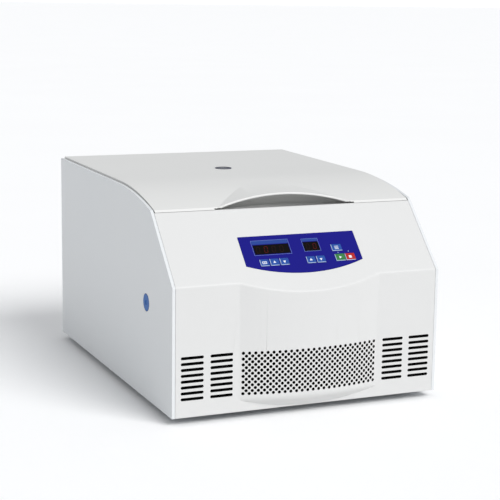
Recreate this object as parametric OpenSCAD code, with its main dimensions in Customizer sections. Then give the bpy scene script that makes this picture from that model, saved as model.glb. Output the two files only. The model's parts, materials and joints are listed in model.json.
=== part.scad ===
// Benchtop laboratory centrifuge: a swing-out rotor in a steel bowl, under a hinged and locked lid.
// Every module draws in one local frame: x across, y back from the flat front face, z up from the
// underside of the casing. place() carries that frame to the middle of the footprint, on the feet.

/* [Body] */
// Width over the two side panels
body_w = 500; // [490:1:520]
// Depth from the flat front face to the rear panel
body_d = 656; // [650:1:680]
// Height of the casing at its rear edge
body_h = 362; // [360:0.5:366]
// Depth at which the flat top turns into the curved front of the lid
shoulder_y = 290; // [280:1:300]
// Height of the top at that line
shoulder_z = 358; // [356:0.5:360]
// Depth of the seam between lid and console
seam_y = 109; // [107:0.5:111]
// Height of that seam
seam_z = 333; // [332:0.5:334]
// Height of the lid above the side panels at the shoulder and behind it
lid_rise = 3.5; // [0:0.5:5]
// Height of the line where the sloping console meets the upright front
break_z = 221; // [215:1:225]
// Height of the rubber feet
foot_h = 13; // [11:0.5:16]

/* [Casing] */
// Thickness of the steel sheet of the side and rear panels
sheet = 1.5; // [1.2:0.1:2]
// Width of the turned edge of each side panel
rim_w = 5.5; // [5:0.1:6]
// Gap between the lid and the turned edges
lid_gap = 1.5; // [1.2:0.1:2]
// Wall of the moulded front panel
panel_t = 4; // [3.5:0.1:4.5]
// Wall of the moulded lid shell
lid_t = 3; // [2.5:0.1:3.5]
// Height of the steel deck under the lid
deck_z = 318; // [317:0.5:319]

/* [Front bulge and vents] */
// Width of the bowed middle of the front
bulge_w = 260; // [256:1:264]
// How far it stands out
bulge_d = 18; // [14:0.5:20]
// Height of its lower edge
bulge_z = 20; // [16:1:24]
// Vertical pitch of the vent slots and hole rows
vent_pitch = 10; // [9.6:0.1:10.2]
// Height of the lowest row
vent_z = 31.5; // [30:0.5:34]
// Number of rows
vent_rows = 8; // [6:1:8]
// Length of a slot, round ends included
slot_l = 40; // [36:1:41]
// Height of a slot
slot_h = 4.4; // [3:0.2:5]
// Diameter of a grille hole
hole_d = 4.8; // [4:0.1:5]
// Holes in a full row of the grille
hole_cols = 25; // [21:2:25]
// Sideways pitch of the grille holes
hole_pitch = 10.3; // [10:0.1:10.3]

/* [Keypad] */
// Width of the keypad
pad_w = 220; // [216:1:224]
// Distance of its top edge above the console's lower line
pad_top = 92; // [90:0.5:94]
// Distance of its lower corners
pad_side = 32; // [31:0.5:33]
// Distance of the lowest point of its curved edge
pad_low = 12; // [11:0.5:14]

/* [Chamber and rotor] */
// Depth of the rotor's axis behind the front face
axis_y = 396; // [394:1:398]
// Outer radius of the bowl's wall
bowl_r = 186; // [184:1:187]
// Height of the underside of the bowl
bowl_z = 148.5; // [146:0.5:150]
// Distance from the rotor's axis to a bucket's pivot
pivot_r = 92; // [90:1:93]
// Height of the pivots
pivot_z = 255; // [252:1:257]
// Inner radius of a bucket
bucket_r = 32; // [30:0.5:32]
// Length of a bucket
bucket_l = 98; // [90:1:100]

/* [Hidden] */
$fn = 72;

rear_proud = 4.7;                                 // how far the fan guard stands behind the rear panel
front_y = -(body_d + rear_proud - bulge_d) / 2;   // row y of the flat front face
tilt = atan2(seam_y, seam_z - break_z);           // lean of the console from upright
console_l = norm([seam_y, seam_z - break_z]);     // length of the slope up to the seam
ledge_v = console_l - 6;                          // where the front panel's slope ends
ledge_y = ledge_v * sin(tilt);
ledge_z = break_z + ledge_v * cos(tilt);
step_y = seam_y + 4;                              // back of the ledge
flange_y = seam_y + 63;                           // back edge of the front panel's flange
top_slope = atan2(body_h - shoulder_z, body_d - shoulder_y);
inner_x = body_w / 2 - rim_w;                     // inner face of a side panel's turned edge
lid_x = inner_x - lid_gap;                        // half width of the lid
base_x = inner_x - 0.2;                           // half width of the base plate
vent_top = vent_z + vent_pitch * (vent_rows - 1);

module place() translate([0, front_y, foot_h]) children();

// ---------- shared shapes ----------

// Solid from an outline in the (y, z) plane, between two x positions
module along_x(points, x0, x1)
  translate([x0, 0, 0]) rotate([90, 0, 90]) linear_extrude(x1 - x0) polygon(points);

// Round bar along x, y or z
module bar_x(r, x0, x1) translate([x0, 0, 0]) rotate([0, 90, 0]) cylinder(r = r, h = x1 - x0);
module bar_y(r, y0, y1) translate([0, y1, 0]) rotate([90, 0, 0]) cylinder(r = r, h = y1 - y0);

module ring(r_out, r_in, h)
  difference() {
    cylinder(r = r_out, h = h, $fn = 120);
    translate([0, 0, -1]) cylinder(r = r_in, h = h + 2, $fn = 120);
  }

// Frame on the sloping console: x across, y up the slope from its lower line, z outwards
module on_console() translate([0, 0, break_z]) rotate([90 - tilt, 0, 0]) children();

// Points of an arc about c, from angle a0 to a1
function arc(c, r, a0, a1, n) = [for (i = [0:n]) let (a = a0 + (a1 - a0) * i / n) c + r * [cos(a), sin(a)]];

function unit(v) = v / norm(v);
function left_of(a, b) = let (d = unit(b - a)) [-d[1], d[0]];

// Outline moved inwards by d; its points run clockwise
function inset(p, d) = let (n = len(p)) [for (i = [0:n - 1])
  let (m = left_of(p[(i + n - 1) % n], p[i]), k = left_of(p[i], p[(i + 1) % n])) p[i] - d * (m + k) / (1 + m * k)];

// Curved front of the top, from the seam back to the shoulder: one arc, tangent to the flat top
function crown(rise) =
  let (chord = [seam_y - shoulder_y, seam_z - shoulder_z - rise], normal = [sin(top_slope), -cos(top_slope)],
    r = chord * chord / (2 * chord * normal), c = [shoulder_y, shoulder_z + rise] + r * normal)
  arc(c, r, atan2(seam_z - c[1], seam_y - c[0]), 90 + top_slope, 16);

lid_crown = crown(lid_rise);
function top_z(y) = shoulder_z + lid_rise + (y - shoulder_y) * tan(top_slope);

// Outline of a side panel, clockwise seen along -x
side_outline = concat([[0, 0], [0, break_z]], crown(0), [[body_d, body_h], [body_d, 0]]);

// ---------- casing ----------

module base_plate() color("gainsboro") place()
  difference() {
    translate([-base_x, panel_t + 1, 0]) cube([2 * base_x, body_d - panel_t - 1 - sheet, 22]);
    translate([2 - base_x, panel_t + 3, 2]) cube([2 * base_x - 4, body_d - panel_t - 5 - sheet, 30]);
    for (x = [-150, 150]) for (i = [0:7])
      translate([x - 35, 130 + 16 * i, -1]) cube([70, 6, 4]);
  }

plug_y = 129.5;      // place of the emergency release hole in the left side
plug_z = 171;
plug_head_r = 15.5;
plug_stem_r = 12;

// One side: steel sheet with its edge turned in all round, so that a narrow rim frames the front and top
module side_sheet()
  difference() {
    along_x(side_outline, -body_w / 2, -inner_x);
    along_x(inset(side_outline, sheet), sheet - body_w / 2, 1 - inner_x);
  }

module left_side_panel() color("whitesmoke") place()
  difference() {
    union() {
      side_sheet();
      translate([0, plug_y, plug_z]) bar_x(plug_head_r + 2, -body_w / 2 + 0.5, -body_w / 2 + 2.8);
    }
    translate([0, plug_y, plug_z]) bar_x(plug_head_r + 0.2, -body_w / 2 - 1, -body_w / 2 + 1.3);
    translate([0, plug_y, plug_z]) bar_x(plug_stem_r + 0.2, -body_w / 2 - 1, -body_w / 2 + 4);
  }

module right_side_panel() color("whitesmoke") place() mirror([1, 0, 0]) side_sheet();

foot_x = 190;
foot_y = [85, 585];

module feet() color("dimgray") place()
  for (x = [-foot_x, foot_x]) for (y = foot_y) translate([x, y, -foot_h])
    difference() {
      cylinder(r1 = 19, r2 = 22, h = foot_h);
      translate([0, 0, -1]) cylinder(r = 7, h = 6);
    }

fan_x = -120;        // cooling fan on the rear panel
fan_z = 150;
fan_half = 59.5;
inlet_x = 150;       // mains inlet and switch on the rear panel
inlet_z = 70;
switch_x = 205;
hinge_z = body_h - 13.4;   // axis of the lid's hinges
hinge_y = body_d - 13;

module rear_panel() color("whitesmoke") place()
  difference() {
    translate([0.1 - inner_x, body_d - sheet, 0]) cube([2 * inner_x - 0.2, sheet, hinge_z - 14.6]);
    translate([fan_x, 0, fan_z]) bar_y(56, body_d - 5, body_d + 5);
    translate([inlet_x - 14.2, body_d - 5, inlet_z - 10.7]) cube([28.4, 10, 21.4]);
    translate([switch_x - 9.7, body_d - 5, inlet_z - 14.2]) cube([19.4, 10, 28.4]);
    for (i = [0:9]) translate([0, body_d, 130 + 14 * i]) for (x = [110, 175])
      translate([x - 25, -5, -2]) cube([50, 10, 4]);
  }

rear_screw_x = [-238, -80, 80, 238];
rear_screw_z = [14, 318];

module case_screws() color("silver") place()
  for (x = rear_screw_x) for (z = rear_screw_z) translate([x, body_d, z]) rotate([-90, 0, 0])
    difference() {
      cylinder(r1 = 4, r2 = 3, h = 2);
      for (a = [0, 90]) rotate(a) translate([-2, -0.4, 1]) cube([4, 0.8, 2]);
    }

// ---------- front panel: bowed lower front, sloping console, ledge and finger grip ----------

bulge_r = (bulge_w * bulge_w / 4 + bulge_d * bulge_d) / (2 * bulge_d);

// Everything under the console's plane, lowered by d
module under_console(d) on_console() translate([-300, -330, -500 - d]) cube([600, 520, 500]);

// Bowed middle: an upright cylinder with a tapered underside, its wall taken in by d
module bulge(d)
  intersection() {
    translate([0, bulge_r - bulge_d, 0]) union() {
      translate([0, 0, bulge_z]) cylinder(r = bulge_r - d, h = break_z, $fn = 360);
      translate([0, 0, 1 + d]) cylinder(r1 = bulge_r - bulge_d - d, r2 = bulge_r - d, h = bulge_z - 1 - d, $fn = 360);
    }
    translate([-bulge_w / 2 - 5, -bulge_d - 5, 0]) cube([bulge_w + 10, bulge_d + 10 + d, break_z + 20]);
    under_console(d);
  }

console_outline = [[0, 0], [0, break_z], [ledge_y, ledge_z], [step_y, ledge_z], [step_y, deck_z],
  [flange_y, deck_z], [flange_y, 0]];
console_inner = inset([[0, -20], [0, break_z], [ledge_y, ledge_z], [step_y, ledge_z], [step_y, deck_z],
  [flange_y + 20, deck_z], [flange_y + 20, -20]], panel_t);

// Front edge of the lid over the finger opening, seen from above, and the trough behind it
arch_half = 126;
arch_depth = 8;
arch_r = (arch_half * arch_half + arch_depth * arch_depth) / (2 * arch_depth);
arch_y = seam_y + arch_depth - arch_r;
brow_z = 352;        // crest of the brow that the lid raises over the opening, at the seam
brow_slope = 2.8;
brow_r = (arch_half * arch_half + pow(brow_z - seam_z, 2)) / (2 * (brow_z - seam_z));
trough_r = 33;
trough_ring = 221;
trough_y = -87;
trough_z = 346;
trough_half = arch_half + 4;
ridge_z = 326;
lip_depth = 4;       // height of the lid's lip round the finger opening

module trough(d)
  intersection() {
    translate([0, trough_y, trough_z]) rotate([0, 0, 45]) rotate_extrude(angle = 90, $fn = 240)
      translate([trough_ring, 0]) circle(r = trough_r + d, $fn = 72);
    translate([-trough_half - d, 20, 300]) cube([2 * (trough_half + d), 180, 90]);
  }

module front_box(y0, y1, z1) translate([-170, y0, 280]) cube([340, y1 - y0, z1 - 280]);

module slot(x, z)
  translate([x, 0, z]) {
    translate([-slot_l / 2 + slot_h / 2, -5, -slot_h / 2]) cube([slot_l - slot_h, 20, slot_h]);
    for (s = [-1, 1]) translate([s * (slot_l - slot_h) / 2, 0, 0]) bar_y(slot_h / 2, -5, 15);
  }

slot_x = [161.8, 214.3];   // middles of the two slot columns on each side

module grille_holes()
  for (row = [0:2 * vent_rows - 2])
    let (odd = row % 2, n = hole_cols - odd)
      for (i = [0:n - 1])
        translate([(i - (n - 1) / 2) * hole_pitch, 0, vent_z + row * vent_pitch / 2])
          bar_y(hole_d / 2, -bulge_d - 5, 12, $fn = 24);

rpm_box = [-87, 54, 66.5, 19.5];     // windows of the two displays: x, y, width, height
time_box = [6.5, 55, 29.5, 19];

// Outline of the keypad on the console, taken in by d
pad_arc_r = (pad_w * pad_w / 4 + pow(pad_side - pad_low, 2)) / (2 * (pad_side - pad_low));
pad_arc_half = asin(pad_w / 2 / pad_arc_r);
pad_outline = concat(arc([0, pad_low + pad_arc_r], pad_arc_r, 270 - pad_arc_half, 270 + pad_arc_half, 16),
  [[pad_w / 2, pad_top], [-pad_w / 2, pad_top]]);
function pad(d) = inset([for (i = [len(pad_outline) - 1:-1:0]) pad_outline[i]], d);

module window_cut(b, w0, w1, d)
  translate([b[0] + d, b[1] + d, w0]) cube([b[2] - 2 * d, b[3] - 2 * d, w1 - w0]);

pad_depth = 2.4;

module front_panel() color("white") place()
  difference() {
    union() {
      difference() {
        union() {
          along_x(console_outline, -inner_x + 0.4, inner_x - 0.4);
          bulge(0);
        }
        along_x(console_inner, -inner_x - 1, inner_x + 1);
        bulge(panel_t);
      }
      intersection() {
        trough(3);
        union() {
          front_box(ledge_y + 1, flange_y, ridge_z);
          front_box(ledge_y + 1, step_y, ledge_z - 0.5);
        }
        under_console(1);
      }
    }
    intersection() {
      trough(0);
      front_box(ledge_y + 3.7, flange_y + 20, trough_z + 12);
    }
    for (s = [-1, 1]) for (x = slot_x) for (i = [0:vent_rows - 1]) slot(s * x, vent_z + i * vent_pitch);
    grille_holes();
    on_console() {
      translate([0, 0, -pad_depth]) linear_extrude(10) polygon(pad(0));
      window_cut(rpm_box, -20, 5, 0);
      window_cut(time_box, -20, 5, 0);
    }
  }

module vent_filters() color([0.05, 0.05, 0.05]) place()
  for (box = [[-238, 100], [-125, 250], [138, 100]])
    translate([box[0], panel_t + 0.4, vent_z - 8]) cube([box[1], 8, vent_top - vent_z + 16]);

// ---------- keypad and electronics ----------

key_small = [16.2, 13.8];
key_row = 37;
// Each key: middle x, middle y, width, height
key_boxes = [
  [-75, key_row, key_small[0], key_small[1]],
  [-56.5, key_row, key_small[0], key_small[1]],
  [-38, key_row, key_small[0], key_small[1]],
  [12, key_row, key_small[0], key_small[1]],
  [31, key_row, key_small[0], key_small[1]],
  [67.5, 58.5, 19.4, 13.8],
  [68.3, key_row + 1, 18.4, 14.2],
  [87.7, key_row + 1, 18.4, 14.2]
];

module key_block(k, w0, w1, d)
  translate([k[0] - k[2] / 2 + d, k[1] - k[3] / 2 + d, w0]) cube([k[2] - 2 * d, k[3] - 2 * d, w1 - w0]);

module key(i, shade) color(shade) place() on_console() key_block(key_boxes[i], -0.9, 0.5, 0);

module keypad_overlay() color("mediumblue") place() on_console()
  difference() {
    translate([0, 0, -1.6]) linear_extrude(1.75) polygon(pad(0.15));
    for (k = key_boxes) key_block(k, -3, 3, -0.35);
    window_cut(rpm_box, -3, 3, 0);
    window_cut(time_box, -3, 3, 0);
  }

module keypad_circuit() color("darkgreen") place() on_console()
  difference() {
    translate([0, 0, -pad_depth]) linear_extrude(0.8) polygon(pad(0.6));
    window_cut(rpm_box, -3, 3, -0.2);
    window_cut(time_box, -3, 3, -0.2);
  }

module rpm_window() color([0.12, 0.02, 0.03]) place() on_console() window_cut(rpm_box, -1.5, 0.05, 0.1);
module time_window() color([0.12, 0.02, 0.03]) place() on_console() window_cut(time_box, -1.5, 0.05, 0.1);

board_w = -13;   // face of the control board, measured from the console's surface

module display_modules() color("black") place() on_console() {
  window_cut(rpm_box, board_w, -2.2, 0.6);
  window_cut(time_box, board_w, -2.2, 0.6);
}

module control_board() color("green") place() on_console() {
  translate([-100, 10, board_w - 1.6]) cube([200, 85, 1.6]);
  for (x = [-60, -20, 25, 60]) translate([x, 16, board_w - 7]) cube([16, 12, 5.4]);
  for (x = [-92, 92]) for (v = [16, 89]) translate([x, v, board_w])
    cylinder(r = 3, h = -board_w - panel_t - 0.1);
}

// ---------- deck, chamber and drive ----------

striker_y = 185.5;   // axis of the lock bolt
striker_z = 287;

module top_deck() color("whitesmoke") place()
  difference() {
    union() {
      translate([-inner_x - 2, flange_y + 0.5, deck_z - 3])
        cube([2 * inner_x + 4, body_d - flange_y - 2.5 - sheet, 3]);
      for (s = [0, 1]) mirror([s, 0, 0])
        translate([inner_x, flange_y + 0.5, deck_z - 18]) cube([2, body_d - flange_y - 2.5 - sheet, 16]);
    }
    translate([0, axis_y, deck_z - 20]) cylinder(r = bowl_r + 0.5, h = 40, $fn = 120);
    translate([-5, flange_y - 1, deck_z - 20]) cube([10, 26, 40]);
  }

bowl_corner = 26;
bowl_outer = concat([[27, 0], [bowl_r - bowl_corner, 0]],
  arc([bowl_r - bowl_corner, bowl_corner], bowl_corner, 270, 360, 8), [[bowl_r, deck_z - bowl_z]]);
bowl_inner = concat([[bowl_r - 1.5, deck_z - bowl_z + 1.5]],
  arc([bowl_r - bowl_corner, bowl_corner], bowl_corner - 1.5, 360, 270, 8), [[27, 1.5]]);

module chamber_bowl() color("silver") place() translate([0, axis_y, bowl_z]) rotate_extrude($fn = 120)
  polygon(concat(bowl_outer, [[bowl_r + 11, deck_z - bowl_z], [bowl_r + 11, deck_z - bowl_z + 1.5]], bowl_inner));

module chamber_seal() color([0.12, 0.12, 0.13]) place() translate([0, axis_y, deck_z + 1.5])
  rotate_extrude($fn = 120) polygon([[bowl_r + 1.5, 0], [bowl_r + 10, 0], [bowl_r + 10, 3],
    [bowl_r + 7.5, 5.9], [bowl_r + 4, 5.9], [bowl_r + 1.5, 3]]);

module guard_ring() color("dimgray") place() translate([0, axis_y, bowl_z + 16])
  ring(bowl_r + 10, bowl_r + 3, 135);

damper_r = 70;

module motor_dampers() color([0.1, 0.1, 0.1]) place()
  for (a = [45:90:315]) translate([0, axis_y, 2]) rotate(a) translate([damper_r, 0, 0]) {
    cylinder(r = 15, h = 8);
    translate([0, 0, 8]) cylinder(r = 12, h = 12);
    translate([0, 0, 20]) cylinder(r = 15, h = 8);
  }

module motor_plate() color("silver") place() translate([0, axis_y, 30])
  difference() {
    cylinder(r = 90, h = 6);
    translate([0, 0, -1]) cylinder(r = 20, h = 8);
  }

motor_top = 128;

module motor_body() color("lightslategray") place() translate([0, axis_y, 36])
  difference() {
    union() {
      cylinder(r = 66, h = 8);
      cylinder(r = 58, h = motor_top - 36);
      for (a = [0:15:345]) rotate(a) translate([56, -1.5, 14]) cube([9, 3, 66]);
      translate([0, 0, motor_top - 46]) cylinder(r = 66, h = 10);
    }
    translate([0, 0, 20]) cylinder(r = 10.5, h = motor_top);
  }

shaft_r = 9;
yoke_z = pivot_z - 15;

module motor_shaft() color("lightgray") place() translate([0, axis_y, 0]) {
  translate([0, 0, 57]) cylinder(r = shaft_r, h = yoke_z + 30 - 57);
  translate([0, 0, yoke_z + 30]) cylinder(r = 6, h = 14);
}

module shaft_boot() color([0.1, 0.1, 0.1]) place() translate([0, axis_y, motor_top])
  rotate_extrude() polygon([[20, 0], [34, 0], [34, 3], [26, 7], [34, 11], [26, 15], [26.5, 20], [26.5, 22], [32, 22],
    [32, 24.5], [20, 24.5], [23.5, 20], [23.5, 16], [30, 11], [23.5, 7], [20, 3]]);

yoke_r = 118;
gap_half = 41.5;     // half width of the space that a bucket hangs in
pin_r = 4;

// One quarter of the yoke's cutting: the space for the bucket on the +x side
module bucket_space()
  translate([48, -gap_half, -30]) cube([100, 2 * gap_half, 90]);

module rotor_yoke() color("lightgray") place() translate([0, axis_y, yoke_z]) {
  difference() {
    union() {
      cylinder(r = yoke_r, h = 30, $fn = 120);
      translate([0, 0, -32]) cylinder(r1 = 24, r2 = 32, h = 32);
      translate([0, 0, 30]) cylinder(r1 = 30, r2 = 22, h = 6);
    }
    for (a = [0:90:270]) rotate(a) bucket_space();
    translate([0, 0, -40]) cylinder(r = shaft_r, h = 70);
    translate([0, 0, 29]) cylinder(r = 17, h = 20);
  }
  for (a = [0:90:270]) rotate(a) for (s = [-1, 1])
    translate([pivot_r, s * (gap_half + 36.6) / 2, 15])
      bar_y(pin_r, -(gap_half - 36.6) / 2 - (s > 0 ? 0 : 2), (gap_half - 36.6) / 2 + (s > 0 ? 2 : 0));
}

module rotor_nut() color("dimgray") place() translate([0, axis_y, yoke_z + 30])
  difference() {
    union() {
      cylinder(r = 16, h = 6);
      translate([0, 0, 6]) cylinder(r = 11, h = 11);
      translate([0, 0, 17]) cylinder(r1 = 11, r2 = 8, h = 3);
    }
    translate([0, 0, -1]) cylinder(r = 6, h = 15.2);
    for (a = [0:60:300]) rotate(a) translate([11.5, 0, 8]) cylinder(r = 2.5, h = 20, $fn = 24);
  }

// A bucket hanging on the +x side of the rotor: steel cup with a boss on each side for the pins
module bucket(turn) color("lightsteelblue") place() translate([0, axis_y, pivot_z]) rotate(turn)
  translate([pivot_r, 0, 0]) difference() {
    union() {
      translate([0, 0, 20 - bucket_l]) cylinder(r = bucket_r + 3.5, h = bucket_l, $fn = 96);
      translate([0, 0, 15]) cylinder(r = bucket_r + 5.5, h = 5, $fn = 96);
      for (s = [-1, 1]) translate([-11, s * 36.75 - 3.75, -12]) cube([22, 7.5, 27]);
    }
    translate([0, 0, 25 - bucket_l]) cylinder(r = bucket_r, h = bucket_l, $fn = 96);
    for (s = [-1, 1]) translate([0, s * 39.5, 0]) {
      bar_y(pin_r + 0.08, -3.3, 3.3);
      translate([-pin_r - 0.08, -3.3, -30]) cube([2 * pin_r + 0.16, 6.6, 30]);
    }
  }

module imbalance_switch() color("black") place() translate([96, axis_y, 0]) {
  translate([0, -8, 2]) cube([12, 16, 34]);
  translate([-4, -2, 38]) cube([14, 4, 1.2]);
  translate([4, -2, 36]) cube([4, 4, 2]);
}

module motor_drive() color("gray") place() translate([112, 330, 2]) {
  cube([120, 170, 8]);
  for (i = [0:11]) translate([2 + 10 * i, 0, 8]) cube([3, 170, 26]);
  translate([10, 175, 0]) cube([100, 60, 42]);
}

// ---------- lid ----------

barrel_r = 13;
rim_z = deck_z + 3;          // underside of the lid's rim
lip_z = ledge_z + 0.6;       // underside of the lip that covers the ledge
lip_v = console_l - (seam_z - lip_z) / cos(tilt);
lid_back = 628;
lid_corner = 4;              // radius of the lid's rear edge
lid_outline = concat([[lip_v * sin(tilt), lip_z]], lid_crown,
  arc([body_d - lid_corner, top_z(body_d) - lid_corner], lid_corner, 90 + top_slope, 0, 4),
  arc([hinge_y, hinge_z], barrel_r, 0, -90, 8),
  [[lid_back, hinge_z - barrel_r], [lid_back, rim_z], [step_y + 1.5, rim_z], [step_y + 1.5, lip_z]]);
lid_hollow = concat([[step_y + 1.5 + lid_t, lip_z]], [for (p = lid_crown) if (p[0] > step_y + 8) p - [0, lid_t]],
  [[lid_back - lid_t, top_z(lid_back) - lid_t], [lid_back - lid_t, rim_z - 1], [step_y + 1.5 + lid_t, rim_z - 1]]);
// Everything deeper than the lip of the finger opening, under the curved front
under_lip = concat([[80, 300], [80, lip_z]],
  [for (p = lid_crown) if (p[1] - lip_depth > lip_z && p[0] < 200) p - [0, lip_depth]], [[200, 300]]);

// Front view of the finger opening's cut, which runs out to a point at each end of the lip
arch_front = [[-arch_half - 8, lip_z - 9], [arch_half + 8, lip_z - 9], [arch_half + 8, lip_z - 1],
  [arch_half, seam_z], [arch_half, 370], [-arch_half, 370], [-arch_half, seam_z], [-arch_half - 8, lip_z - 1]];

// Brow raised over the finger opening: part of an upright arch run back into the lid, lowered by d
module brow(d)
  intersection() {
    translate([0, seam_y, brow_z - d]) rotate([brow_slope, 0, 0]) translate([0, 0, -brow_r])
      bar_y_round(brow_r, -40, 200);
    translate([-arch_half - 2, seam_y, lip_z]) cube([2 * arch_half + 4, 160, 60]);
  }

module bar_y_round(r, y0, y1) translate([0, y1, 0]) rotate([90, 0, 0]) cylinder(r = r, h = y1 - y0, $fn = 720);

hinge_x = 150;
hinge_zone = 64;
sight_r = 16.2;
sight_top = top_z(axis_y);

module lid_shell() color("white") place()
  difference() {
    union() {
      along_x(lid_outline, -lid_x, lid_x);
      brow(0);
    }
    difference() {
      along_x(lid_hollow, lid_t - lid_x, lid_x - lid_t);
      intersection() {
        translate([0, trough_y, 300]) cylinder(r = trough_ring + trough_r + 7, h = 70, $fn = 240);
        translate([-trough_half - 12, 80, 300]) cube([2 * trough_half + 24, 120, 70]);
      }
    }
    intersection() {
      translate([0, arch_y, 300]) cylinder(r = arch_r, h = 70, $fn = 720);
      translate([0, 200, 0]) rotate([90, 0, 0]) linear_extrude(200) polygon(arch_front);
    }
    intersection() {
      trough(4.5);
      union() {
        along_x(under_lip, -180, 180);
        brow(lip_depth);
      }
    }
    translate([0, axis_y, 300]) cylinder(r = 15.2, h = 80);
    for (s = [-1, 1]) translate([s * hinge_x, 0, 0]) {
      translate([0, hinge_y, hinge_z]) bar_x(10, -hinge_zone / 2, hinge_zone / 2);
      translate([-hinge_zone / 2, lid_back - 18, rim_z - 5])
        cube([hinge_zone, 60, hinge_z + 3 - rim_z + 5]);
    }
  }

liner_z = deck_z + 8;

module lid_liner() color("gainsboro") place()
  difference() {
    translate([-lid_x + 9, 175, liner_z]) cube([2 * lid_x - 18, 445, 2]);
    translate([0, axis_y, liner_z - 1]) cylinder(r = 15.2, h = 4);
  }

module lid_screws() color("silver") place()
  for (x = [-220, 0, 220]) for (y = [215, 600]) translate([x, y, liner_z - 1.6])
    cylinder(r1 = 2.6, r2 = 4, h = 1.6);

module sight_bezel() color([0.15, 0.18, 0.28]) place() translate([0, axis_y, 0])
  difference() {
    union() {
      translate([0, 0, sight_top + 0.2]) cylinder(r = sight_r, h = 0.7);
      translate([0, 0, liner_z]) cylinder(r = 15, h = sight_top - liner_z + 1);
    }
    translate([0, 0, liner_z - 1]) cylinder(r = 11.5, h = 60);
    translate([0, 0, sight_top - 3]) cylinder(r = 13, h = 10);
  }

module sight_glass() color([0.2, 0.25, 0.35, 0.6]) place()
  translate([0, axis_y, sight_top - 3]) cylinder(r = 12.95, h = 3.4);

module lid_striker() color("silver") place()
  difference() {
    union() {
      along_x([[176, liner_z], [194, liner_z], [194, striker_z - 9], [190, striker_z - 14],
        [181, striker_z - 14], [177.5, striker_z - 9]], -2.5, 2.5);
      translate([-14, 176, liner_z - 3]) cube([28, 18, 3]);
    }
    translate([0, striker_y, striker_z]) bar_x(5.6, -5, 5);
  }

module hinge_arms() color("silver") place()
  for (s = [-1, 1]) translate([s * hinge_x, 0, 0])
    difference() {
      union() {
        translate([0, hinge_y, hinge_z]) bar_x(7.5, -7, 7);
        translate([-7, 545, liner_z + 2]) cube([14, hinge_y - 560, 4]);
        along_x([[hinge_y - 24, liner_z + 2], [hinge_y - 24, liner_z + 6], [hinge_y - 5, hinge_z + 4],
          [hinge_y, hinge_z - 5]], -7, 7);
        translate([-18, 545, liner_z + 2]) cube([36, 45, 2.5]);
      }
      translate([0, hinge_y, hinge_z]) bar_x(pin_r + 0.05, -20, 20);
    }

module hinge_brackets() color("silver") place()
  for (s = [-1, 1]) translate([s * hinge_x, 0, 0])
    difference() {
      union() {
        for (x = [-14, 7.5]) translate([x, 0, 0]) {
          translate([0, hinge_y, hinge_z]) bar_x(8.5, 0, 6.5);
          translate([0, hinge_y - 8.5, deck_z + 2]) cube([6.5, 10, hinge_z - deck_z - 2]);
        }
        translate([-26, hinge_y - 10.5, deck_z]) cube([52, 20, 3]);
      }
      translate([0, hinge_y, hinge_z]) bar_x(pin_r, -20, 20);
    }

module hinge_pins() color("gray") place()
  for (s = [-1, 1]) translate([s * hinge_x, hinge_y, hinge_z]) bar_x(pin_r, -27, 27);

// Coil spring as one swept tube: coil radius, wire radius, turns and length, along z
module coil(r, wire, turns, length, sides = 8, steps = 14) {
  n = turns * steps;
  points = [for (i = [0:n]) let (a = 360 * i / steps, z = length * i / n)
    for (k = [0:sides - 1]) let (b = 360 * k / sides, q = r + wire * cos(b))
      [q * cos(a), q * sin(a), z + wire * sin(b)]];
  walls = [for (i = [0:n - 1]) for (k = [0:sides - 1])
    let (a = i * sides + k, b = i * sides + (k + 1) % sides) [a, a + sides, b + sides, b]];
  polyhedron(points, concat(walls, [[for (k = [0:sides - 1]) k]],
    [[for (k = [sides - 1:-1:0]) n * sides + k]]));
}

module hinge_springs() color("darkgray") place()
  for (s = [-1, 1]) for (t = [-1, 1]) translate([s * hinge_x + t * 20.5 - 4.4, hinge_y, hinge_z])
    rotate([0, 90, 0]) coil(5.7, 1.1, 4, 9, 6, 12);

// ---------- lid lock ----------

bolt_r = 5;
solenoid_x = [-78, -38];

module latch_housing() color("silver") place()
  difference() {
    union() {
      for (x = [-32, 26]) translate([x, 176, striker_z - 16]) cube([6, 20, deck_z - 3 - striker_z + 16]);
      translate([-32, 176, striker_z - 19]) cube([64, 20, 3]);
    }
    translate([0, striker_y, striker_z]) bar_x(bolt_r + 0.05, -60, 60);
  }

module solenoid() color("goldenrod") place() translate([0, striker_y, striker_z])
  difference() {
    union() {
      bar_x(12, solenoid_x[0] + 2, solenoid_x[1] - 2);
      translate([solenoid_x[0], -12, -13]) cube([2, 24, 26]);
      translate([solenoid_x[1] - 2, -12, -13]) cube([2, 24, 26]);
    }
    bar_x(bolt_r + 0.3, solenoid_x[0] - 1, solenoid_x[1] + 1);
  }

rod_x = -112;        // upright stretch of the release link, which is flat steel bar
rod_w = 5;

module lock_bolt() color("lightgray") place() {
  translate([0, striker_y, striker_z]) {
    bar_x(bolt_r, rod_x, -5.5);
    bar_x(9, -101, -99);
  }
  translate([rod_x - rod_w / 2, striker_y - 4, plug_z - 3]) cube([rod_w, 8, striker_z - plug_z + 12]);
  translate([rod_x - rod_w / 2, plug_y - 4, plug_z - 3]) cube([rod_w, striker_y - plug_y, 6]);
  translate([16 - body_w / 2, plug_y - 4, plug_z - 2]) cube([rod_x + body_w / 2 - 16, 5, 4]);
  translate([0, plug_y - 1.5, plug_z]) bar_x(7, 14 - body_w / 2, 17 - body_w / 2);
}

module latch_spring() color("darkgray") place() translate([-98.3, striker_y, striker_z])
  rotate([0, 90, 0]) coil(7, 0.6, 5, 19.3, 6, 12);

module release_plug() color("steelblue") place() translate([-body_w / 2, plug_y, plug_z])
  difference() {
    union() {
      bar_x(plug_head_r, 0, 1.2);
      bar_x(plug_stem_r, 1.2, 8);
    }
    bar_x(plug_stem_r - 2, 3, 12);
    translate([-0.5, 0, 0]) bar_x(4, 0, 1.3);
  }

// ---------- rear: fan, inlet and switch ----------

fan_y = body_d - sheet - 25;

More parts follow.
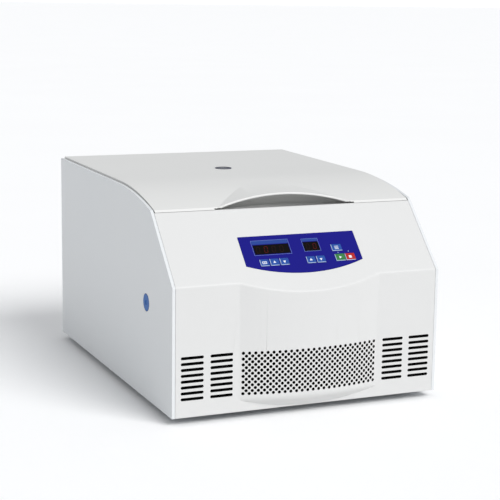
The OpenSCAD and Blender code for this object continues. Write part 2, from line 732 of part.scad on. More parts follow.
module fan_frame() color([0.1, 0.1, 0.1]) place() translate([fan_x, fan_y, fan_z]) {
  difference() {
    translate([-fan_half, 0, -fan_half]) cube([2 * fan_half, 25, 2 * fan_half]);
    bar_y(57, -1, 26, $fn = 96);
    for (x = [-52.5, 52.5]) for (z = [-52.5, 52.5]) translate([x, 0, z]) bar_y(2.2, -1, 26);
  }
  bar_y(20, 0, 4);
  for (a = [45:90:315]) rotate([0, a, 0]) translate([18, 0.5, -2]) cube([40.5, 3, 4]);
}

module fan_blades() color([0.15, 0.15, 0.16]) place() translate([fan_x, fan_y, fan_z]) {
  bar_y(20, 4.6, 24);
  for (a = [0:360 / 7:359]) rotate([0, a, 0]) translate([17, 14, 0]) rotate([38, 0, 0])
    translate([0, -0.9, -11]) cube([36.5, 1.8, 22]);
}

module fan_guard() color("silver") place() translate([fan_x, body_d, fan_z]) {
  for (r = [15:10:55]) translate([0, 3.6, 0]) rotate([90, 0, 0]) rotate_extrude($fn = 96)
    translate([r, 0]) circle(r = 1.1, $fn = 16);
  for (a = [45:90:315]) rotate([0, a, 0]) {
    translate([14, 0.4, -1.1]) cube([60.2, 2.4, 2.2]);
    translate([74.2, 0, 0]) difference() {
      bar_y(5, 0, 2.8);
      bar_y(2.2, -1, 5);
    }
  }
}

module power_inlet() color([0.08, 0.08, 0.08]) place() translate([inlet_x, body_d, inlet_z]) {
  difference() {
    union() {
      translate([-25, 0, -12]) cube([50, 2.5, 24]);
      translate([-14, -22, -10.5]) cube([28, 22, 21]);
    }
    translate([-12, -16, -8.5]) cube([24, 30, 17]);
    for (x = [-20, 20]) translate([x, 0, 0]) bar_y(1.8, -1, 5);
  }
  for (p = [[-8, -4.5], [8, -4.5]]) translate([p[0] - 1, -17, p[1] - 2]) cube([2, 15, 4]);
  translate([-1, -17, 2.5]) cube([2, 15, 4]);
}

module switch_frame() color([0.08, 0.08, 0.08]) place() translate([switch_x, body_d, inlet_z])
  difference() {
    union() {
      translate([-11.5, 0, -16]) cube([23, 2, 32]);
      translate([-9.5, -20, -14]) cube([19, 20, 28]);
    }
    translate([-8, -10, -12.5]) cube([16, 20, 25]);
  }

rocker_lean = 9;

module switch_rocker() color([0.75, 0.08, 0.06]) place() translate([switch_x, body_d - 3, inlet_z])
  rotate([rocker_lean, 0, 0]) difference() {
    union() {
      bar_x(5, -7.6, 7.6);
      along_x([[0, -11], [4.2, -11], [5, 0], [4.2, 11], [0, 11]], -7.6, 7.6);
    }
    translate([-10, -12, -20]) cube([20, 8.5, 40]);
  }

base_plate();
left_side_panel();
right_side_panel();
rear_panel();
front_panel();
feet();
case_screws();
vent_filters();
keypad_overlay();
keypad_circuit();
rpm_window();
time_window();
display_modules();
control_board();
key(0, "royalblue");  // key_set
key(1, "royalblue");  // key_speed_up
key(2, "royalblue");  // key_speed_down
key(3, "royalblue");  // key_time_up
key(4, "royalblue");  // key_time_down
key(5, "royalblue");  // key_menu
key(6, "green");  // key_start
key(7, "red");  // key_stop
top_deck();
chamber_bowl();
chamber_seal();
guard_ring();
motor_plate();
motor_dampers();
motor_body();
motor_shaft();
shaft_boot();
rotor_yoke();
rotor_nut();
bucket(0);  // bucket_1
bucket(90);  // bucket_2
bucket(180);  // bucket_3
bucket(270);  // bucket_4
imbalance_switch();
motor_drive();
lid_shell();
lid_liner();
lid_screws();
sight_glass();
sight_bezel();
lid_striker();
hinge_arms();
hinge_brackets();
hinge_pins();
hinge_springs();
latch_housing();
solenoid();
lock_bolt();
latch_spring();
release_plug();
fan_frame();
fan_blades();
fan_guard();
power_inlet();
switch_frame();
switch_rocker();
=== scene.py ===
import json
import math
import bpy
from mathutils import Matrix, Vector
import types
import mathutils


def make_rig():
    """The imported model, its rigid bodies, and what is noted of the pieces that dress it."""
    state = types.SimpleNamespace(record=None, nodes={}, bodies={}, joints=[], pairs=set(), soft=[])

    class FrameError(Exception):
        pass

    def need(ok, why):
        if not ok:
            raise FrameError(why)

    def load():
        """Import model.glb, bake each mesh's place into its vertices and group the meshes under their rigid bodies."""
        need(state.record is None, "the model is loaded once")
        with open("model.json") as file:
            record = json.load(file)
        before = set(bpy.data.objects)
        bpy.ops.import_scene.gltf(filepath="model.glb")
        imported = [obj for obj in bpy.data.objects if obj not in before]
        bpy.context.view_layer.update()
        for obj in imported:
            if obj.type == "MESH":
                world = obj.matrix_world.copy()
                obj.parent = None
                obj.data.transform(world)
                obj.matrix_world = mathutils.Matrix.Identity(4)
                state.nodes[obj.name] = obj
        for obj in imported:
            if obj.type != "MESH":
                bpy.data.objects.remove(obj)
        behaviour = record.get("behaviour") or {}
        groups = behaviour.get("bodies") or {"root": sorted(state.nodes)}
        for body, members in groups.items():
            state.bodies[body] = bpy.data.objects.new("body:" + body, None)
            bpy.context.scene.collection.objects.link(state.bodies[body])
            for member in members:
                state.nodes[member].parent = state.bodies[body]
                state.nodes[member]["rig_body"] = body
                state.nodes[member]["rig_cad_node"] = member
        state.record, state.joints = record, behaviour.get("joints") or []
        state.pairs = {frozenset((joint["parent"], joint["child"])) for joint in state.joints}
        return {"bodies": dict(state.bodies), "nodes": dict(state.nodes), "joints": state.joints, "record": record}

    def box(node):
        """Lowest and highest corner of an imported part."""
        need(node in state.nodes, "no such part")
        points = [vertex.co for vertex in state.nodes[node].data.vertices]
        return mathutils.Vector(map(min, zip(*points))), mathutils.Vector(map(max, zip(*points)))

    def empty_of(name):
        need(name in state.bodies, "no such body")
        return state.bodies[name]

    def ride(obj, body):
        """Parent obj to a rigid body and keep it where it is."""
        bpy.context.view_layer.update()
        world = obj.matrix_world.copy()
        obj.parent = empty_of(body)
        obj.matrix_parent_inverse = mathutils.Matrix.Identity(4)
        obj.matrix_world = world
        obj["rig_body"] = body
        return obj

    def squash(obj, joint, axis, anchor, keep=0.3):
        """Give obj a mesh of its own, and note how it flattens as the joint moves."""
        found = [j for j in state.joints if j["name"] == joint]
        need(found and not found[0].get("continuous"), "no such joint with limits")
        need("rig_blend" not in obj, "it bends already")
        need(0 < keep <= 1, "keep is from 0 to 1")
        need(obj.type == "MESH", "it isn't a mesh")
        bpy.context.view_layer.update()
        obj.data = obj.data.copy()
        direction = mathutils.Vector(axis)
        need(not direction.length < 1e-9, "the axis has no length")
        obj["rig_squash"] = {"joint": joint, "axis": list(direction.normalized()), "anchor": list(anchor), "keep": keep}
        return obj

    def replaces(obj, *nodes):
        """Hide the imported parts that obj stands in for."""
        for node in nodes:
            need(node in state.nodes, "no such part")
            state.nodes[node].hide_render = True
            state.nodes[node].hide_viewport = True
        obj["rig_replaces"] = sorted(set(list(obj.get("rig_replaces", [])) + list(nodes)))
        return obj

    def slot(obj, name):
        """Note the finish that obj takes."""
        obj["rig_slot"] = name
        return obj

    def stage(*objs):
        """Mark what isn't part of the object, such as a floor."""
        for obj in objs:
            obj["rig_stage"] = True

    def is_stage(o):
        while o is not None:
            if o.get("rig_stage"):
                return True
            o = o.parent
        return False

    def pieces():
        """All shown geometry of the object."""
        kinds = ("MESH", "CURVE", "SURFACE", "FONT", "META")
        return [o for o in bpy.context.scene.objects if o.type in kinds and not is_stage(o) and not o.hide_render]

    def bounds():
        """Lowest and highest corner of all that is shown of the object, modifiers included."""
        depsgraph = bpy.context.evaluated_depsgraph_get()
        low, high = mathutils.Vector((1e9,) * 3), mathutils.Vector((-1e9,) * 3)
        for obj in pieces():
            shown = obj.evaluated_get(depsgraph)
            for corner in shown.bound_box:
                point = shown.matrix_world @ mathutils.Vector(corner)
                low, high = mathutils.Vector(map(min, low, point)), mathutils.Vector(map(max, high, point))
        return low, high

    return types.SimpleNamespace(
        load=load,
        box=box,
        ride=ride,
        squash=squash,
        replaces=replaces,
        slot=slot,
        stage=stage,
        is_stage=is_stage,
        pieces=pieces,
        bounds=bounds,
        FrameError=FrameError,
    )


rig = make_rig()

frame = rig.load()
cad_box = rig.bounds()

# ---------- Camera ----------
# A short telephoto a little over two metres off, a little above the machine and to the left of its front,
# rolled a touch clockwise. Its target is given from the casing's own front face and underside.
MM = 0.001
panel_low, panel_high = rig.box("left_side_panel")
FRONT_Y, UNDER_Z = panel_low.y, panel_low.z


def spot(x, y, z):
    """A point in millimetres from the middle of the casing's front face, at its underside."""
    return Vector((x * MM, FRONT_Y + y * MM, UNDER_Z + z * MM))


azimuth, elevation, roll = math.radians(-23.50), math.radians(10.25), math.radians(0.78)
back = Vector((math.sin(azimuth) * math.cos(elevation), -math.cos(azimuth) * math.cos(elevation),
               math.sin(elevation)))
level_right = Vector((math.cos(azimuth), math.sin(azimuth), 0))
level_up = back.cross(level_right)
right = level_right * math.cos(roll) + level_up * math.sin(roll)
up = level_up * math.cos(roll) - level_right * math.sin(roll)
facing = Matrix((right, up, back)).transposed()
target = spot(-113.4, 0, 276.3)
CAMERA_DISTANCE = 2.2837
bpy.ops.object.camera_add(location=target + back * CAMERA_DISTANCE, rotation=facing.to_euler())
camera = bpy.context.object
camera.data.lens = 99.36
camera.data.sensor_width = 36
bpy.context.scene.camera = camera

# ---------- Studio: floor and light ----------
# A plain white sweep under soft light: one broad lamp from the front and right, which leaves the
# left side of the casing in light shade, and an even white sky for the rest.


def linear(hex_colour):
    """The linear RGBA of an sRGB hex colour."""
    parts = [int(hex_colour[i:i + 2], 16) / 255 for i in (1, 3, 5)]
    return [c / 12.92 if c <= 0.04045 else ((c + 0.055) / 1.055) ** 2.4 for c in parts] + [1.0]


def add_node(tree, kind, settings=None, values=None, links=None):
    """A new node with its own settings, its sockets' values, and links into its sockets."""
    node = tree.nodes.new(kind)
    for key, value in (settings or {}).items():
        setattr(node, key, value)
    for key, value in (values or {}).items():
        node.inputs[key].default_value = value
    for key, source in (links or {}).items():
        tree.links.new(source, node.inputs[key])
    return node


def finish(name, light, dark, patch, roughness, grain, depth, spread=0.08, lay=None, **shader):
    """A surface whose colour and gloss drift in patches, with a fine grain; sizes in millimetres.

    The grain runs evenly, or the way that lay turns the point on the surface."""
    material = bpy.data.materials.new(name)
    material.use_nodes = True
    tree = material.node_tree
    bsdf = tree.nodes["Principled BSDF"]
    for key, value in shader.items():
        bsdf.inputs[key.replace("_", " ")].default_value = value
    point = add_node(tree, "ShaderNodeTexCoord").outputs["Object"]
    if lay:
        point = lay(tree, point)
    drift = add_node(tree, "ShaderNodeTexNoise", values={"Scale": 1 / (patch * MM), "Detail": 3},
                     links={"Vector": point})
    colour = add_node(tree, "ShaderNodeMix", {"data_type": "RGBA"}, links={"Factor": drift.outputs["Fac"]})
    colour.inputs[6].default_value, colour.inputs[7].default_value = linear(light), linear(dark)
    tree.links.new(colour.outputs[2], bsdf.inputs["Base Color"])
    gloss_range = {"To Min": roughness - spread / 2, "To Max": roughness + spread / 2}
    gloss = add_node(tree, "ShaderNodeMapRange", values=gloss_range, links={"Value": drift.outputs["Fac"]})
    tree.links.new(gloss.outputs[0], bsdf.inputs["Roughness"])
    fine = add_node(tree, "ShaderNodeTexNoise", values={"Scale": 1 / (grain * MM), "Detail": 2},
                    links={"Vector": point})
    bump = add_node(tree, "ShaderNodeBump", values={"Strength": 0.5, "Distance": depth * MM},
                    links={"Height": fine.outputs["Fac"]})
    tree.links.new(bump.outputs[0], bsdf.inputs["Normal"])
    return material


def only(piece):
    """Selects one object alone and makes it active."""
    bpy.ops.object.select_all(action="DESELECT")
    piece.select_set(True)
    bpy.context.view_layer.objects.active = piece


bpy.ops.object.select_all(action="DESELECT")
bpy.ops.mesh.primitive_plane_add(size=400, location=(0, 0, 0))
floor = bpy.context.object
floor.name = "studio_floor"
floor.data.materials.append(finish("matt_white_sweep", "#FFFFFF", "#FCFCFC", 900, 0.9, 3, 0.02))
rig.stage(floor)

bpy.ops.object.light_add(type="SUN", rotation=(math.radians(48), 0, math.radians(24)))
key_light = bpy.context.object.data
key_light.energy, key_light.angle = 2.15, math.radians(35)
bpy.context.scene.view_settings.view_transform = "Standard"
sky = bpy.data.worlds.new("studio_sky")
sky.use_nodes = True
sky_tree = sky.node_tree
overhead = add_node(sky_tree, "ShaderNodeTexCoord").outputs["Generated"]
height = add_node(sky_tree, "ShaderNodeSeparateXYZ", links={"Vector": overhead})
# Bright at the horizon, so that the sweep has no edge, and softer above it.
sky_range = {"From Max": 0.06, "To Min": 1.1, "To Max": 0.57}
brightness = add_node(sky_tree, "ShaderNodeMapRange", values=sky_range, links={"Value": height.outputs["Z"]})
sky_tree.nodes["Background"].inputs["Color"].default_value = linear("#FAFCFF")
sky_tree.links.new(brightness.outputs[0], sky_tree.nodes["Background"].inputs["Strength"])
bpy.context.scene.world = sky

# ---------- Steel casing: side panels, rear panel, deck ----------
# Folded sheet steel with a white powder coat. The coat is stoved, so it lies in a very slight
# orange peel, rounds every cut edge, and shines softly.
powder_coat = finish("stoved_powder_coat", "#D6D9DB", "#DADCDD", 260, 0.45, 1.6, 0.03,
                     Coat_Weight=0.08, Coat_Roughness=0.3)


def pick(piece, kind, rule, sharp=0):
    """Selects a piece's edges or faces, by middle and direction or normal, and stays in edit mode."""
    bpy.ops.object.mode_set(mode="OBJECT")
    only(piece)
    bpy.ops.object.mode_set(mode="EDIT")
    bpy.ops.mesh.select_mode(type=kind)
    bpy.ops.mesh.select_all(action="DESELECT")
    if sharp:
        bpy.ops.mesh.edges_select_sharp(sharpness=math.radians(sharp))
    bpy.ops.object.mode_set(mode="OBJECT")
    corners = piece.data.vertices
    picked = []
    if kind == "EDGE":
        for edge in piece.data.edges:
            a, b = (corners[i].co for i in edge.vertices)
            picked.append((edge.select or not sharp) and rule((a + b) / 2, (b - a).normalized()))
    else:
        picked = [rule(face.center, face.normal) for face in piece.data.polygons]
    edges, faces = piece.data.edges, piece.data.polygons
    corners.foreach_set("select", [False] * len(corners))
    edges.foreach_set("select", picked if kind == "EDGE" else [False] * len(edges))
    faces.foreach_set("select", picked if kind == "FACE" else [False] * len(faces))
    bpy.ops.object.mode_set(mode="EDIT")


def dress(node, material):
    """Gives a node that keeps its own shape its finish."""
    piece = frame["nodes"][node]
    piece.data.materials.clear()
    piece.data.materials.append(material)


material_slots = {part["node"]: part["material_slot"] for part in frame["record"]["subparts"]}


def rounded(node, material, edge, steps=2, angle=30, shape=None, skip=lambda m: False):
    """A copy of a node with its sharp edges rounded, in millimetres. It stands in for the node."""
    source = frame["nodes"][node]
    source.hide_set(False)
    only(source)
    bpy.ops.object.duplicate()
    piece = bpy.context.object
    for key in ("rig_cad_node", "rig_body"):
        if key in piece:
            del piece[key]
    piece.parent = None
    piece.matrix_world = Matrix.Identity(4)
    piece.name = "finished_" + node
    bpy.ops.object.mode_set(mode="EDIT")
    bpy.ops.mesh.select_all(action="SELECT")
    bpy.ops.mesh.remove_doubles(threshold=0.004 * MM)
    bpy.ops.mesh.dissolve_limited(angle_limit=math.radians(0.3))
    bpy.ops.object.mode_set(mode="OBJECT")
    if shape:
        shape(piece)
    if edge:
        pick(piece, "EDGE", lambda m, d: not skip(m), angle)
        bpy.ops.mesh.bevel(offset=edge * MM, segments=steps, affect="EDGES", clamp_overlap=False)
        bpy.ops.object.mode_set(mode="OBJECT")
    bpy.ops.object.shade_smooth_by_angle(angle=math.radians(angle + 5))
    piece.modifiers.new("flats", "WEIGHTED_NORMAL").keep_sharp = True
    bpy.ops.object.modifier_apply(modifier="flats")
    piece.data.materials.clear()
    piece.data.materials.append(material)
    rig.ride(piece, source["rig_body"])
    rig.replaces(piece, node)
    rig.slot(piece, material_slots[node])
    return piece


for node in ("left_side_panel", "right_side_panel", "rear_panel", "top_deck"):
    rounded(node, powder_coat, 0.35)

# ---------- Front moulding ----------
# One thick-walled moulding, sprayed satin white: bowed vented front, sloping console and the
# trough for the fingers. Its corners are drawn to an easy radius by the mould.
satin_moulding = finish("sprayed_satin_moulding", "#D3D3D2", "#CFCFCE", 300, 0.5, 0.7, 0.01,
                        Coat_Weight=0.05, Coat_Roughness=0.4)
# Painted shade: a flat black for the walls and rims of the vents, where shade falls.
vent_painted_shade = finish("vent_painted_shade_black", "#0A0A0A", "#0D0D0D", 60, 0.85, 0.8, 0.01, Specular_IOR_Level=0.1)
VENTS_HALF_WIDTH, VENTS_LOW, VENTS_HIGH = 238 * MM, 25 * MM, 106 * MM
BULGE_HALF_WIDTH, BULGE_FOOT = 130 * MM, 20 * MM
NEAR = 0.3 * MM


def shade_vents(piece):
    """Paints the walls and rounded rims of the slots and holes black, as painted shade that makes the vents read as
    dark openings.
    """
    piece.data.materials.append(vent_painted_shade)
    for face in piece.data.polygons:
        m, n = face.center, face.normal
        if abs(n.y) < 0.9 and abs(m.x) < VENTS_HALF_WIDTH and VENTS_LOW < m.z - UNDER_Z < VENTS_HIGH:
            face.material_index = 1


def ease_front(piece):
    """Draws the bulge's corners and foot, and the line where the console breaks back, to soft radii."""
    pick(piece, "EDGE", lambda m, d: (abs(abs(m.x) - BULGE_HALF_WIDTH) < NEAR and abs(m.y - FRONT_Y) < NEAR
                                      and abs(d.z) > 0.99), 8)
    bpy.ops.mesh.bevel(offset=3 * MM, segments=3, affect="EDGES", clamp_overlap=False)
    pick(piece, "EDGE", lambda m, d: (abs((m - CONSOLE_FOOT).dot(OUTWARD)) < 0.2 * MM
                                      and (m - CONSOLE_FOOT).dot(UP_SLOPE) < 0.2 * MM
                                      and m.y < FRONT_Y + 0.5 * MM), 20)
    bpy.ops.mesh.bevel(offset=2.5 * MM, segments=3, affect="EDGES", clamp_overlap=False)
    pick(piece, "EDGE", lambda m, d: (abs(m.z - UNDER_Z - BULGE_FOOT) < NEAR and m.y < FRONT_Y - 2 * MM
                                      and abs(d.z) < 0.1), 15)
    bpy.ops.mesh.bevel(offset=5 * MM, segments=4, affect="EDGES", clamp_overlap=False)
    bpy.ops.object.mode_set(mode="OBJECT")


# The console slopes back from this line, and the keys press in along its normal.
OUTWARD = -Vector(next(j["axis"] for j in frame["joints"] if j["name"] == "key_set_press"))
UP_SLOPE = Vector((0, OUTWARD.z, -OUTWARD.y))
FILM_TOP, FILM_UNDER = 0.15 * MM, 1.6 * MM
film_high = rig.box("keypad_overlay")[1]
film_length = (film_high.y - FRONT_Y - FILM_UNDER * UP_SLOPE.z) / UP_SLOPE.y
CONSOLE_FOOT = Vector((0, FRONT_Y, film_high.z - film_length * UP_SLOPE.z - FILM_TOP * UP_SLOPE.y))
TROUGH_LOW, TROUGH_FRONT = spot(0, 105, 300).z, spot(0, 105, 300).y
# The trough's slanting ends are too thin for the small radius of the other edges.
front = rounded("front_panel", satin_moulding, 0.35, steps=1, shape=ease_front,
                skip=lambda m: m.z > TROUGH_LOW and abs(m.x) > 80 * MM and m.y > TROUGH_FRONT)
shade_vents(front)
foam = finish("open_cell_black_foam", "#070707", "#0B0B0B", 20, 0.95, 1.5, 0.3, Specular_IOR_Level=0.05)
dress("vent_filters", foam)

# ---------- Lid ----------
# A moulded shell in the same satin white over a pressed steel liner. A thin rolled lip runs round
# the finger opening in its front edge.
LIP_CENTRE, LIP_RADIUS = spot(0, -879.25, 0), 996.25 * MM
LIP_UNDER_Z = spot(0, 0, 329).z
OPENING_HALF_WIDTH = 126 * MM


def on_lip(m):
    """Whether a point lies on the arched edge over the finger opening."""
    return abs(math.hypot(m.x, m.y - LIP_CENTRE.y) - LIP_RADIUS) < 0.6 * MM and m.z > LIP_UNDER_Z


def roll_lip(piece):
    """Rounds the lip over the finger opening, and keeps the brow's long crease."""
    pick(piece, "EDGE", lambda m, d: (on_lip(m) and abs(m.x) < OPENING_HALF_WIDTH - 9 * MM
                                      and abs(d.z) < 0.6), 35)
    bpy.ops.mesh.bevel(offset=1.4 * MM, segments=4, affect="EDGES", clamp_overlap=False)
    pick(piece, "EDGE", lambda m, d: (abs(m.x) < OPENING_HALF_WIDTH + MM and not on_lip(m)
                                      and FRONT_Y + 112 * MM < m.y < FRONT_Y + 200 * MM
                                      and m.z > LIP_UNDER_Z + 5 * MM), 5)
    bpy.ops.mesh.mark_sharp()
    bpy.ops.object.mode_set(mode="OBJECT")


lid_white = finish("sprayed_satin_lid", "#DCDCDA", "#D8D8D6", 300, 0.5, 0.7, 0.01,
                   Coat_Weight=0.05, Coat_Roughness=0.4)
rounded("lid_shell", lid_white, 0.9, steps=3, shape=roll_lip,
        skip=lambda m: abs(m.x) < 190 * MM and m.y < FRONT_Y + 185 * MM)

# ---------- Keypad film ----------
# A membrane keypad: polyester film printed royal blue from behind and stuck in a shallow pocket of
# the console. The sheet under the keys is the same blue, so no line shows round them.
film_blue = finish("reverse_printed_film", "#0F0D7D", "#0D0B74", 60, 0.45, 0.5, 0.002, Specular_IOR_Level=0.1)
rounded("keypad_overlay", film_blue, 0.06, steps=1)
dress("keypad_circuit", film_blue)

# The console's own frame, in millimetres: across, up the slope from its lower line, and outwards.
console = (Matrix.Translation(CONSOLE_FOOT)
           @ Matrix((Vector((1, 0, 0)), UP_SLOPE, OUTWARD)).transposed().to_4x4() @ Matrix.Scale(MM, 4))


def slab(name, middle, size, low, high, corner, edge, steps=4):
    """A plate in the console's frame, its outline's corners and its front rim rounded."""
    bpy.ops.object.select_all(action="DESELECT")
    bpy.ops.mesh.primitive_cube_add(size=1, location=(*middle, (low + high) / 2), scale=(*size, high - low))
    piece = bpy.context.object
    piece.name = name
    bpy.ops.object.transform_apply()
    if corner:
        pick(piece, "EDGE", lambda m, d: abs(d.z) > 0.9)
        bpy.ops.mesh.bevel(offset=corner, segments=steps, affect="EDGES")
    if edge:
        pick(piece, "EDGE", lambda m, d: m.z > high - 0.01 and abs(d.z) < 0.1)
        bpy.ops.mesh.bevel(offset=edge, segments=2, affect="EDGES")
    bpy.ops.object.mode_set(mode="OBJECT")
    return piece


def settle(piece, place, body, slot, *materials):
    """Puts a piece, made in a frame of its own, in its place on a body, with its finishes."""
    piece.data.transform(place)
    piece.data.update()
    only(piece)
    bpy.ops.object.shade_smooth_by_angle(angle=math.radians(35))
    piece.data.materials.clear()
    for material in materials:
        piece.data.materials.append(material)
    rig.ride(piece, body)
    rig.slot(piece, slot)
    return piece


def joined(name, pieces):
    """Several pieces made into one."""
    bpy.ops.object.select_all(action="DESELECT")
    for piece in pieces:
        piece.select_set(True)
    bpy.context.view_layer.objects.active = pieces[0]
    if len(pieces) > 1:
        bpy.ops.object.join()
    pieces[0].name = name
    return pieces[0]


def prism(middle, radius, sides, turn, low, high):
    """A flat figure of equal sides in the console's frame, such as a disc or an arrowhead."""
    bpy.ops.object.select_all(action="DESELECT")
    bpy.ops.mesh.primitive_cylinder_add(vertices=sides, radius=radius, depth=high - low,
                                        location=(*middle, (low + high) / 2),
                                        rotation=(0, 0, math.radians(turn)))
    bpy.ops.object.transform_apply()
    return bpy.context.object


def window_frame(name, middle, size, line, low, high):
    """A thin printed line round a window: a plate inset by the line's width, with its middle cut out."""
    bpy.ops.object.select_all(action="DESELECT")
    bpy.ops.mesh.primitive_plane_add(size=1, location=(*middle, low))
    piece = bpy.context.object
    piece.name = name
    piece.scale = (*size, 1)
    bpy.ops.object.transform_apply()
    bpy.ops.object.mode_set(mode="EDIT")
    bpy.ops.mesh.select_mode(type="FACE")
    bpy.ops.mesh.select_all(action="SELECT")
    bpy.ops.mesh.inset(thickness=line)
    bpy.ops.mesh.delete(type="FACE")
    bpy.ops.mesh.select_all(action="SELECT")
    bpy.ops.mesh.extrude_region_move(TRANSFORM_OT_translate={"value": (0, 0, high - low)})
    bpy.ops.mesh.select_all(action="SELECT")
    bpy.ops.mesh.normals_make_consistent(inside=False)
    bpy.ops.object.mode_set(mode="OBJECT")
    return piece


# ---------- Printed panels and windows ----------
# A lighter blue band above each display, a fine pale line round it, and a smoked window through
# which the unlit digits only just show.
band_blue = finish("printed_mid_blue", "#183C8C", "#153682", 40, 0.42, 0.5, 0.002, Specular_IOR_Level=0.2)
line_blue = finish("printed_grey_blue", "#6F84C0", "#6076B6", 40, 0.42, 0.5, 0.002, Specular_IOR_Level=0.2)
FILM = 0.15      # how far the film stands out of the console
for name, band, size in (("speed_band", (-53.8, 78.4), (67, 7.6)), ("time_band", (21.3, 77.8), (29.4, 5.6))):
    settle(slab(name, band, size, FILM, FILM + 0.04, 0.6, 0), console, "casing", "keypad_film", band_blue)
for name, middle, size in (("speed_frame", (-53.8, 67.4), (69.8, 30.4)),
                           ("time_frame", (21.3, 67.6), (31.6, 26.4))):
    settle(window_frame(name, middle, size, 0.55, FILM, FILM + 0.05), console, "casing", "keypad_film",
           line_blue)
smoked = finish("smoked_window", "#030203", "#050303", 30, 0.4, 0.5, 0.001, Specular_IOR_Level=0.06)
for node in ("rpm_window", "time_window"):
    rounded(node, smoked, 0.08, steps=1)

digit_red = finish("unlit_digit_red", "#240708", "#1C0506", 10, 0.4, 0.5, 0.001, Specular_IOR_Level=0.1)
digit_dim = finish("glowing_digit_red", "#4A0A0A", "#420909", 10, 0.4, 0.5, 0.001, Specular_IOR_Level=0.1,
                   Emission_Color=linear("#C81410"), Emission_Strength=0.04)
LEAN = 0.12


def zero(middle, height):
    """The figure nought in a display, as six bars that lean a little."""
    half, side, thick = height / 2, height * 0.24, height * 0.09
    places = [((0, half), True), ((side, half / 2), False), ((side, -half / 2), False), ((0, -half), True),
              ((-side, -half / 2), False), ((-side, half / 2), False)]
    bars = []
    for (across, above), level in places:
        size = (side * 1.6, thick) if level else (thick, half * 0.8)
        at = (middle[0] + across + above * LEAN, middle[1] + above)
        bars.append(slab("bar", at, size, 0.05, 0.09, thick * 0.3, 0, 2))
    return bars


displays = {"speed": (63.5, 12, (-79, -50, -35.5), -64.5), "time": (64.5, 11, (14.5,), 27.5)}
for name, (level, tall, unlit, lit) in displays.items():
    dark_bars = [bar for across in unlit for bar in zero((across, level), tall)]
    settle(joined(name + "_digits", dark_bars), console, "casing", "display_glass", digit_red)
    lit_bars = zero((lit, level), tall)
    settle(joined(name + "_digit_lit", lit_bars), console, "casing", "display_glass", digit_dim)

# ---------- Keys ----------
# Domes pressed up in the same film. Each is printed mid blue, green or red, with one plain white sign.
# A pale line along its left and lower edges is painted highlight that makes it stand out.
# Painted highlight for the keys' left and lower edges; the status lamps take the same pale.
key_highlight_and_lamp_pale = finish("key_edge_highlight_and_lamp_pale", "#A9BBD6", "#97ABCB", 12, 0.4, 0.5, 0.002, Specular_IOR_Level=0.2)
key_blue = finish("printed_key_blue", "#1F4E9E", "#194390", 12, 0.4, 0.5, 0.002, Specular_IOR_Level=0.2)
key_green = finish("printed_key_green", "#347B40", "#2B6F38", 12, 0.4, 0.5, 0.002, Specular_IOR_Level=0.2)
key_red = finish("printed_key_red", "#B3221D", "#A31C18", 12, 0.4, 0.5, 0.002, Specular_IOR_Level=0.2)
sign_white = finish("printed_sign_white", "#E4E8F0", "#DCE1EA", 12, 0.4, 0.5, 0.002, Specular_IOR_Level=0.2)
KEY_LOW, KEY_TOP, KEY_LINE = -0.9, 0.5, 1.3
small, wide = (16.2, 13.8), (18.4, 14.2)
SIGN = (KEY_TOP, KEY_TOP + 0.05)


def arrow(turn):
    """A sign that is an arrowhead, turned so many degrees from pointing up the slope."""
    return lambda middle: [prism(middle, 3.1, 3, turn, *SIGN)]


def menu_lines(middle):
    """Three short lines, one above another."""
    u, v = middle
    return [slab("line", (u, v + d), (7.5, 1.1), *SIGN, 0.3, 0, 2) for d in (-2.6, 0, 2.6)]


def set_sign(middle):
    """A small frame round a bar."""
    bar = slab("dot", middle, (3.4, 1.2), *SIGN, 0.3, 0, 2)
    return [window_frame("ring", middle, (8.4, 5), 1.0, *SIGN), bar]


def stop_sign(middle):
    """A square."""
    return [slab("square", middle, (5.2, 5.2), *SIGN, 0.3, 0, 2)]


keys = {
    "key_set": ((-75, 37), small, key_blue, set_sign),
    "key_speed_up": ((-56.5, 37), small, key_blue, arrow(0)),
    "key_speed_down": ((-38, 37), small, key_blue, arrow(180)),
    "key_time_up": ((12, 37), small, key_blue, arrow(0)),
    "key_time_down": ((31, 37), small, key_blue, arrow(180)),
    "key_menu": ((67.5, 58.5), (19.4, 13.8), key_blue, menu_lines),
    "key_start": ((68.3, 38), wide, key_green, arrow(-90)),
    "key_stop": ((87.7, 38), wide, key_red, stop_sign),
}
from_console = console.inverted()
for node, (middle, size, colour, sign) in keys.items():
    cap = slab("cap_" + node, middle, size, KEY_LOW, KEY_TOP, 0.8, 0)
    pick(cap, "FACE", lambda m, n: n.z > 0.9)
    bpy.ops.mesh.inset(thickness=KEY_LINE)
    bpy.ops.object.mode_set(mode="OBJECT")
    settle(cap, console, node, material_slots[node], colour, key_highlight_and_lamp_pale)
    left, foot = (m - s / 2 + KEY_LINE for m, s in zip(middle, size))
    # Painted highlight: the left and lower border of each key's top takes the pale finish.
    for face in cap.data.polygons:
        at = from_console @ face.center
        face.material_index = int(at.z > KEY_TOP - 0.01 and (at.x < left or at.y < foot))
    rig.replaces(cap, node)
    settle(joined("sign_" + node, sign(middle)), console, node, material_slots[node], sign_white)
lamps = [prism(middle, 0.9, 16, 0, FILM, FILM + 0.08) for middle in ((67.4, 48.4), (87.8, 49.6))]
settle(joined("status_lamps", lamps), console, "casing", "keypad_film", key_highlight_and_lamp_pale)

# ---------- Boards behind the keypad ----------
# The display modules are red seven-bar units in black cases, soldered to a green printed board
# that stands on posts behind the console.
black_plastic = finish("moulded_black_plastic", "#141415", "#1B1B1D", 50, 0.42, 0.7, 0.02)
board_green = finish("solder_mask_green", "#17512C", "#134626", 25, 0.3, 2.0, 0.03,
                     Coat_Weight=0.4, Coat_Roughness=0.15)
rounded("display_modules", black_plastic, 0.4)
rounded("control_board", board_green, 0.15)

